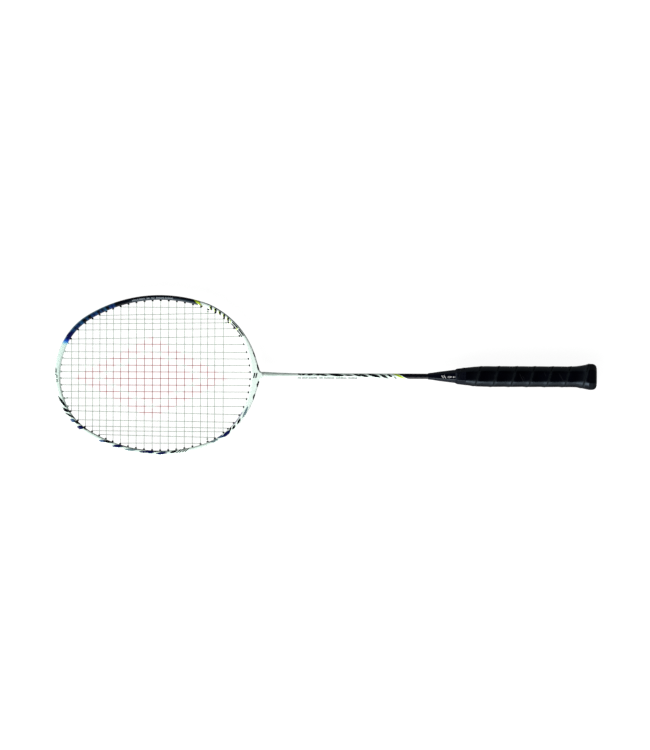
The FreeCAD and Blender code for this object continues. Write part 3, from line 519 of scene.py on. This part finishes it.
def moulded(name, colour, rough, grain, depth, **sockets):
    """Moulded plastic, with a fine spark-eroded texture."""
    look = Look(name, IOR=1.5, **sockets)
    fine = look.noise(look.place, grain, 4.0, 0.6)
    shade = look.mix(look.step(fine, 0.35, 0.7), colour, tuple(c * 1.6 for c in colour))
    look.bump(fine, 0.35, depth)
    return look.finish(shade, look.math("MULTIPLY_ADD", fine, 0.16, rough - 0.08))


def grommet_nylon():
    """Moulded nylon: black, but pale in the strip that crosses the tip."""
    look = Look("grommet_nylon", IOR=1.5, Specular_IOR_Level=0.10)
    fine = look.noise(look.place, 2.5, 4.0, 0.6)
    in_strip = look.math("MULTIPLY",
                         look.step(look.math("ABSOLUTE", look.y), PALE_STRIP_Y + 0.2, PALE_STRIP_Y - 0.2),
                         look.step(look.x, PALE_STRIP_X - 0.5, PALE_STRIP_X + 0.5))
    shade = look.step(fine, 0.35, 0.7)
    black = look.mix(shade, (0.0010, 0.0010, 0.0014), (0.0016, 0.0016, 0.0022))
    pale = look.mix(shade, srgb(212, 226, 218), srgb(228, 240, 233))
    look.bump(fine, 0.35, 0.05)
    return look.finish(look.mix(in_strip, black, pale), look.math("MULTIPLY_ADD", fine, 0.16, 0.37))


def cone_gloss():
    """Glossy black, with two short slanted bars and a run of dashes in white ink."""
    look = Look("cone_gloss", IOR=1.5, Specular_IOR_Level=0.20, Specular_Tint=COOL, Coat_Weight=0.12,
                Coat_Roughness=0.06)
    turn = look.math("ARCTAN2", look.y, look.math("ABSOLUTE", look.z))
    round_it = look.math("MULTIPLY", turn, CONE_ROUND)
    ink = look.math("MAXIMUM", look.marks(look.joined(look.x, round_it), CONE_BARS),
                    dashes(look, look.x, round_it, **CONE_PRINT))
    orange_peel = look.noise(look.place, 0.7, 2.0)
    look.bump(orange_peel, 0.12, 0.05)
    return look.finish(look.mix(look.math("MULTIPLY", ink, 0.85), BLACK, (0.62, 0.62, 0.62)),
                       look.math("MULTIPLY_ADD", orange_peel, 0.10, 0.16))


def grip_pu():
    """Black synthetic leather: a fine pebble grain, soft creases with painted sheen, a polish where a hand has
    held it, painted shade at the seams.
    """
    look = Look("grip_pu", IOR=1.45, Specular_IOR_Level=0.25, Specular_Tint=COOL)
    # the distance across the tape from its lower edge, on a turn of the winding
    turned = look.math("MULTIPLY_ADD", look.math("ARCTAN2", look.y, look.z), 0.5 / math.pi, 0.25)
    turns = look.math("DIVIDE", look.math("SUBTRACT", look.x, SEAM_X / MM), PITCH / MM)
    across = look.math("MULTIPLY", look.math("FRACT", look.math("SUBTRACT", turns, turned)), PITCH / MM)
    # the swollen middle of a turn is polished, and its two edges are rougher and painted darker, as the shade in
    # the seam's valley
    polish = look.math("MULTIPLY", look.step(across, 3.0, 16.5), look.step(across, 20.5, 18.0))
    edges = look.math("MAXIMUM", look.step(across, 1.4, 0.6), look.step(across, 20.6, 21.8))
    pebble = look.cells(look.place, 1.7)
    fine = look.noise(look.place, 4.0, 3.0, 0.6)
    soft = look.noise(look.joined(look.math("MULTIPLY", look.x, 0.5), look.y, look.z), 0.35, 4.0, 0.6)
    creases = look.marks(look.joined(look.x, look.y), GRIP_CREASES)
    height = look.math("ADD", look.math("MULTIPLY", pebble, 0.4), look.math("MULTIPLY", fine, 0.2))
    height = look.math("ADD", height, look.math("MULTIPLY_ADD", soft, 1.2, creases))
    worn = look.step(look.noise(look.place, 0.05, 3.0), 0.35, 0.7)
    colour = look.mix(worn, (0.0004, 0.0004, 0.0014), (0.0007, 0.0008, 0.0026))
    # the creases are painted lighter: a painted sheen where they catch the light
    colour = look.mix(look.math("MULTIPLY", creases, 0.6), colour, (0.012, 0.012, 0.014))
    look.bump(height, 0.4, 0.12)
    rough = look.math("MULTIPLY_ADD", worn, -0.04, look.math("MULTIPLY_ADD", pebble, 0.06, 0.31))
    rough = look.math("MULTIPLY_ADD", polish, -0.16, rough)
    rough = look.math("MULTIPLY_ADD", edges, 0.4, rough)
    # the edges' darker colour is painted shade in the seams between turns
    return look.finish(look.mix(edges, colour, (0.0002, 0.0002, 0.0004)), rough)


def vinyl_tape():
    """Thin black tape: soft ridges where it crosses the wrap's edge."""
    look = Look("vinyl_tape", IOR=1.52, Specular_IOR_Level=0.12, Specular_Tint=COOL)
    wander = look.math("MULTIPLY", look.noise(look.place, 0.25, 2.0), 7.0)
    ridges = look.math("SINE", look.math("MULTIPLY_ADD", look.x, 1.9, wander))
    look.bump(look.math("ADD", ridges, look.noise(look.place, 2.0, 3.0)), 0.25, 0.08)
    shade = look.mix(look.step(look.noise(look.place, 0.5, 2.0), 0.4, 0.6), BLACK, (0.0035, 0.0040, 0.0070))
    return look.finish(shade, look.math("MULTIPLY_ADD", ridges, 0.03, 0.30))


def drawn_steel():
    """Bare wire, with fine streaks along the handle from drawing."""
    look = Look("drawn_steel", Metallic=1.0, Anisotropic=0.4)
    squeezed = look.joined(look.x, look.math("MULTIPLY", look.y, 8.0), look.math("MULTIPLY", look.z, 8.0))
    streaks = look.noise(squeezed, 1.2, 4.0)
    look.bump(streaks, 0.3, 0.02)
    return look.finish(look.mix(streaks, (0.42, 0.42, 0.41), (0.66, 0.65, 0.63)),
                       look.math("MULTIPLY_ADD", streaks, 0.2, 0.22))


def handle_wood():
    """Pale wood, with growth rings round the handle's axis and long pores along it."""
    look = Look("handle_wood", IOR=1.45)
    stretched = look.joined(look.math("MULTIPLY", look.x, 0.06), look.y, look.z)
    wander = look.math("MULTIPLY", look.noise(stretched, 0.2, 3.0), 9.0)
    from_axis = look.vector("LENGTH", look.joined(look.y, look.z))
    rings = look.math("SINE", look.math("MULTIPLY", look.math("ADD", from_axis, wander), 2.6))
    pores = look.noise(look.joined(look.math("MULTIPLY", look.x, 0.12), look.y, look.z), 3.0, 4.0, 0.6)
    colour = look.mix(look.step(rings, -0.6, 0.9), (0.50, 0.32, 0.17), (0.62, 0.43, 0.25))
    colour = look.mix(look.step(pores, 0.56, 0.70), colour, (0.30, 0.17, 0.08))
    look.bump(pores, 0.4, 0.1)
    return look.finish(colour, look.math("MULTIPLY_ADD", pores, 0.2, 0.45))


def paint_nodes():
    """Give every CAD node its material. The grip's wrap is replaced, and keeps its own."""
    nylon = grommet_nylon()
    cap = moulded("cap_satin", (0.0005, 0.0005, 0.0014), 0.40, 1.6, 0.06, Specular_IOR_Level=0.10,
                  Specular_Tint=COOL)
    steel = drawn_steel()
    looks = {"frame_hoop": hoop_paint(), "shaft_tube": shaft_paint(), "grip_cone": cone_gloss(),
             "t_joint_insert": moulded("insert_plastic", (0.03, 0.03, 0.034), 0.5, 1.2, 0.08),
             # the mains get a darker copy of the string nylon: painted shade
             "main_string": string_nylon("main_nylon_shaded", MAIN_WHITE_SHADED),
             "cross_string": string_nylon("cross_nylon", CROSS_WHITE), "handle_core": handle_wood(),
             "butt_cap": cap, "butt_cap_staples": steel, "grip_staple": steel, "finish_tape": vinyl_tape()}
    for name, obj in NODES.items():
        material = looks.get(name, nylon if name.startswith("grommets_") else None)
        if material:
            obj.data.materials.clear()
            obj.data.materials.append(material)


# ================================================================ the wound grip
def handle_radii(low, high):
    """The wrap's CAD radius in a grid over x and turn, softened round the corners, as padded tape rounds them. A
    turn is counted from +Z to +Y, in steps."""
    mesh = NODES["grip_wrap"].data
    tree = BVHTree.FromPolygons([v.co for v in mesh.vertices], [p.vertices for p in mesh.polygons])

    def outside(x, step):
        turn = 2 * math.pi * step / TURN_STEPS
        out = Vector((0.0, math.sin(turn), math.cos(turn)))
        hit = tree.ray_cast(Vector((x, 0.0, 0.0)) + out * OUTSIDE_HANDLE, -out)[0]
        return Vector((0.0, hit.y, hit.z)).length

    grid = []
    for i in range(GRID_COLUMNS + 1):
        x = low + (high - low) * i / GRID_COLUMNS
        ring = [outside(x, step) for step in range(TURN_STEPS)]
        grid.append([sum(ring[(step + d) % TURN_STEPS] for d in range(-3, 4)) / 7 for step in range(TURN_STEPS)])

    def radius(x, step):
        place = min(max((x - low) / (high - low), 0.0), 1.0) * GRID_COLUMNS
        i = min(int(place), GRID_COLUMNS - 1)
        a, b = grid[i][step % TURN_STEPS], grid[i + 1][step % TURN_STEPS]
        return a + (b - a) * (place - i)

    return radius


def tape_section():
    """The tape's section, as rows of the distance from its lower edge, the top and the underside. The two heights
    are counted from the flat tape's top."""
    overlap = TAPE_WIDTH - PITCH
    rows = []
    for s in TAPE_SAMPLES:
        s *= MM
        lift = LOW_EDGE_RISE * max(0.0, 1.0 - s / LOW_EDGE_RUN) ** 1.6
        bevel = EDGE_BEVEL * max(0.0, 1.0 - s / EDGE_BEVEL_RUN) ** 2
        share = min(s / PITCH, 1.0)
        crown = CROWN * share ** 1.5 * (1.0 - share ** 6)
        tuck = max(0.0, (s - (PITCH - TUCK_EARLY)) / (overlap + TUCK_EARLY))
        top = lift - bevel + crown - TUCK_DEPTH * min(1.0, tuck) ** 0.8
        under = -TAPE_THICK
        if s < overlap:
            # it lies on the turn below, whose tucked edge falls away
            under = -CLEARANCE - TUCK_DEPTH * (s / overlap) ** 0.8
        rows.append((s, top, min(under, top - THINNEST)))
    return rows


def wound_strip(build, low_x, high_x, radius):
    """Add the strip to the mesh: a ring of points round its section at each step of the winding."""
    section = tape_section()
    turns_below = math.ceil((SEAM_X - low_x) / PITCH) + 1
    turns = turns_below + math.ceil((high_x - SEAM_X) / PITCH) + 1
    rings = []
    for step in range(turns * TURN_STEPS + 1):
        # the turn's angle is counted from the -Y side, where SEAM_X is given
        angle = 2 * math.pi * step / TURN_STEPS - math.pi / 2
        edge = SEAM_X - turns_below * PITCH + PITCH * step / TURN_STEPS
        side = (step - TURN_STEPS // 4) % TURN_STEPS
        out = Vector((0.0, math.sin(angle), math.cos(angle)))
        if not low_x - TAPE_WIDTH - PITCH < edge < high_x + PITCH:
            continue
        outer, inner = [], []
        for s, top, under in section:
            x = edge + s
            base = radius(x, side) - SETTLED
            outer.append(build.verts.new(Vector((x, 0, 0)) + out * (base + top)))
            inner.append(build.verts.new(Vector((x, 0, 0)) + out * (base + under)))
        rings.append(outer + inner[::-1])
    for a, b in zip(rings, rings[1:]):
        for k in range(len(a)):
            n = (k + 1) % len(a)
            build.faces.new((a[k], a[n], b[n], b[k]))
    build.faces.new(rings[0][::-1])
    build.faces.new(rings[-1])


def wind_grip():
    """One long strip of tape wound up the handle, each turn lapping over the one below it, and trimmed square at
    both ends."""
    low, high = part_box("grip_wrap")
    low_x, high_x = low[0] + 0.2 * MM, high[0] - 0.3 * MM
    radius = handle_radii(low[0] + 0.4 * MM, high[0] - 0.6 * MM)
    mesh = bpy.data.meshes.new("grip_tape_wound")
    build = bmesh.new()
    wound_strip(build, low_x, high_x, radius)
    for x, normal in ((low_x, -1), (high_x, 1)):
        parts = build.verts[:] + build.edges[:] + build.faces[:]
        cut = bmesh.ops.bisect_plane(build, geom=parts, plane_co=(x, 0, 0), plane_no=(normal, 0, 0),
                                     clear_outer=True, dist=1e-7)
        edges = [e for e in cut["geom_cut"] if isinstance(e, bmesh.types.BMEdge) and e.is_boundary]
        bmesh.ops.edgeloop_fill(build, edges=edges)
    bmesh.ops.recalc_face_normals(build, faces=build.faces[:])
    for face in build.faces:
        face.smooth = True
    build.to_mesh(mesh)
    build.free()
    tape = bpy.data.objects.new("grip_tape_wound", mesh)
    bpy.context.scene.collection.objects.link(tape)
    tape.data.materials.append(grip_pu())
    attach(tape, "root")
    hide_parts("grip_wrap")


# ================================================================ floor, light and camera
FLOOR_SIZE = 12.0
FLOOR_SEEN = 0.93              # the floor's own brightness in the picture
FLOOR_GLOW = 0.25              # and on the object
KEY_PLACE = (0.9, 1.7, 1.1)    # from the racket's middle
KEY_SIZE = (2.4, 1.5)
KEY_POWER = 70.0
DOME_BRIGHT_SIDE = 2.1
DOME_SHADY_SIDE = 0.30
DOME_OVERHEAD = 0.01
DOME_EDGE = (0.45, 0.78)       # heights in the sky between which its bright band fades out
BRIGHT_TOWARDS = (0.65, 0.75, 0.0)

LENS = 300.0                   # mm
SENSOR = 36.0                  # mm, on the picture's long side
FIELD = 0.9347                 # metres across the picture's long side, at the strings
VIEW_CENTRE = (0.3385, -0.0011)
ROLL = math.radians(0.22)


def floor_and_key():
    low, high = CAD_BOX
    middle = Vector(((low[0] + high[0]) / 2, 0.0, 0.0))
    bpy.ops.mesh.primitive_grid_add(x_subdivisions=8, y_subdivisions=8, size=FLOOR_SIZE,
                                    location=(middle.x, 0.0, low[2]))
    floor = bpy.context.object
    floor.name = "studio_floor"
    look = Look("studio_floor", Emission_Color=(1.0, 1.0, 1.0, 1.0), Specular_IOR_Level=0.0)
    seen = look.node("ShaderNodeLightPath").outputs["Is Camera Ray"]
    glow = look.math("MULTIPLY_ADD", seen, FLOOR_SEEN - FLOOR_GLOW, FLOOR_GLOW)
    look.feed(look.shader.inputs["Emission Strength"], glow)
    grain = look.noise(look.place, 0.02, 2.0)
    floor.data.materials.append(look.finish(look.mix(grain, (0.15, 0.15, 0.15), (0.17, 0.17, 0.17)), 0.9))

    light = bpy.data.lights.new("key", "AREA")
    light.shape = "RECTANGLE"
    light.size, light.size_y = KEY_SIZE
    light.energy = KEY_POWER
    key = bpy.data.objects.new("key", light)
    key.location = middle + Vector(KEY_PLACE)
    key.rotation_euler = (middle - key.location).to_track_quat("-Z", "Y").to_euler()
    key.visible_camera = False
    bpy.context.scene.collection.objects.link(key)


def dome():
    """White light round the horizon, most of it from the +Y side, and dark overhead. The camera sees plain white
    beyond the floor."""
    world = bpy.data.worlds.new("studio")
    world.use_nodes = True
    bpy.context.scene.world = world
    nodes, links = world.node_tree.nodes, world.node_tree.links

    def ranged(value, low, high, at_low, at_high):
        made = nodes.new("ShaderNodeMapRange")
        made.interpolation_type = "SMOOTHSTEP"
        links.new(value, made.inputs["Value"])
        for name, number in (("From Min", low), ("From Max", high), ("To Min", at_low), ("To Max", at_high)):
            made.inputs[name].default_value = number
        return made.outputs[0]

    def combined(operation, a, b):
        made = nodes.new("ShaderNodeMath")
        made.operation = operation
        links.new(a, made.inputs[0])
        links.new(b, made.inputs[1])
        return made.outputs[0]

    directions = nodes.new("ShaderNodeTexCoord").outputs["Generated"]
    axes = nodes.new("ShaderNodeSeparateXYZ")
    links.new(directions, axes.inputs[0])
    band = ranged(axes.outputs["Z"], *DOME_EDGE, 1.0, DOME_OVERHEAD)
    lean = nodes.new("ShaderNodeVectorMath")
    lean.operation = "DOT_PRODUCT"
    lean.inputs[1].default_value = BRIGHT_TOWARDS
    links.new(directions, lean.inputs[0])
    side = ranged(lean.outputs["Value"], -0.7, 0.7, DOME_SHADY_SIDE, DOME_BRIGHT_SIDE)
    seen = nodes.new("ShaderNodeLightPath").outputs["Is Camera Ray"]
    strength = combined("MAXIMUM", combined("MULTIPLY", band, side), seen)
    links.new(strength, nodes["Background"].inputs["Strength"])
    nodes["Background"].inputs["Color"].default_value = (1.0, 1.0, 1.0, 1.0)


def camera():
    """Straight above the racket, with the head on the picture's left."""
    data = bpy.data.cameras.new("camera")
    data.lens = LENS
    data.sensor_width = SENSOR
    data.sensor_fit = "AUTO"
    obj = bpy.data.objects.new("camera", data)
    distance = FIELD * LENS / SENSOR
    obj.matrix_world = (Matrix.Translation((VIEW_CENTRE[0], VIEW_CENTRE[1], distance))
                        @ Matrix.Rotation(math.pi + ROLL, 4, "Z"))
    bpy.context.scene.collection.objects.link(obj)
    bpy.context.scene.camera = obj
    view = bpy.context.scene.view_settings
    view.view_transform = "Standard"
    view.exposure = 0.0


paint_nodes()
wind_grip()
floor_and_key()
dome()
camera()
